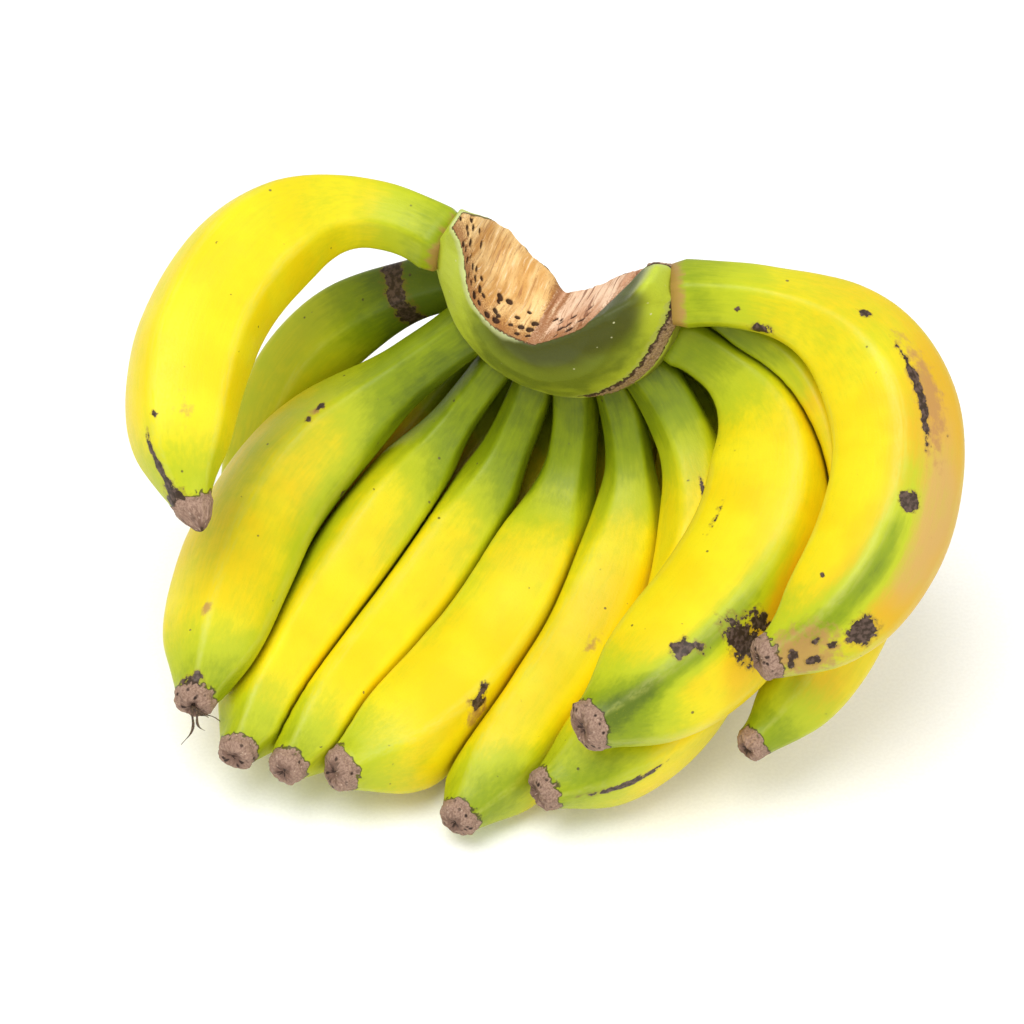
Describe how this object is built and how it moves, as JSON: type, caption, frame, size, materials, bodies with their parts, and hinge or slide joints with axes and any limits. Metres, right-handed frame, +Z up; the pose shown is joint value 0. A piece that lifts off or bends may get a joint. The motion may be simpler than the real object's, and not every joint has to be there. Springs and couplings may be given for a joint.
{
  "type": "hand of bananas",
  "caption": "Hand of small ripe yellow bananas, curved and grown in two rows on one green cut crown, lying on a flat surface.",
  "frame": {"origin": "on the surface that the hand lies on, under the middle of its bounding box", "axes": "+X along the hand's width, its longest extent; -Y towards the viewer of the picture and most fingers' tips; +Z up"},
  "size_m": [0.2467, 0.1668, 0.149],
  "materials": {
    "peel": "waxy",
    "crown": "matte, fibrous where cut"
  },
  "bodies": {
    "root": {"banana_upper_1": "peel", "banana_upper_2": "peel", "banana_upper_3": "peel", "banana_upper_4": "peel", "banana_upper_5": "peel", "banana_upper_6": "peel", "banana_upper_7": "peel", "banana_upper_8": "peel", "banana_upper_9": "peel", "banana_lower_1": "peel", "banana_lower_2": "peel", "banana_lower_3": "peel", "banana_lower_4": "peel", "banana_lower_5": "peel", "banana_lower_6": "peel", "banana_lower_7": "peel", "banana_lower_8": "peel", "crown": "crown"}
  },
  "joints": []
}
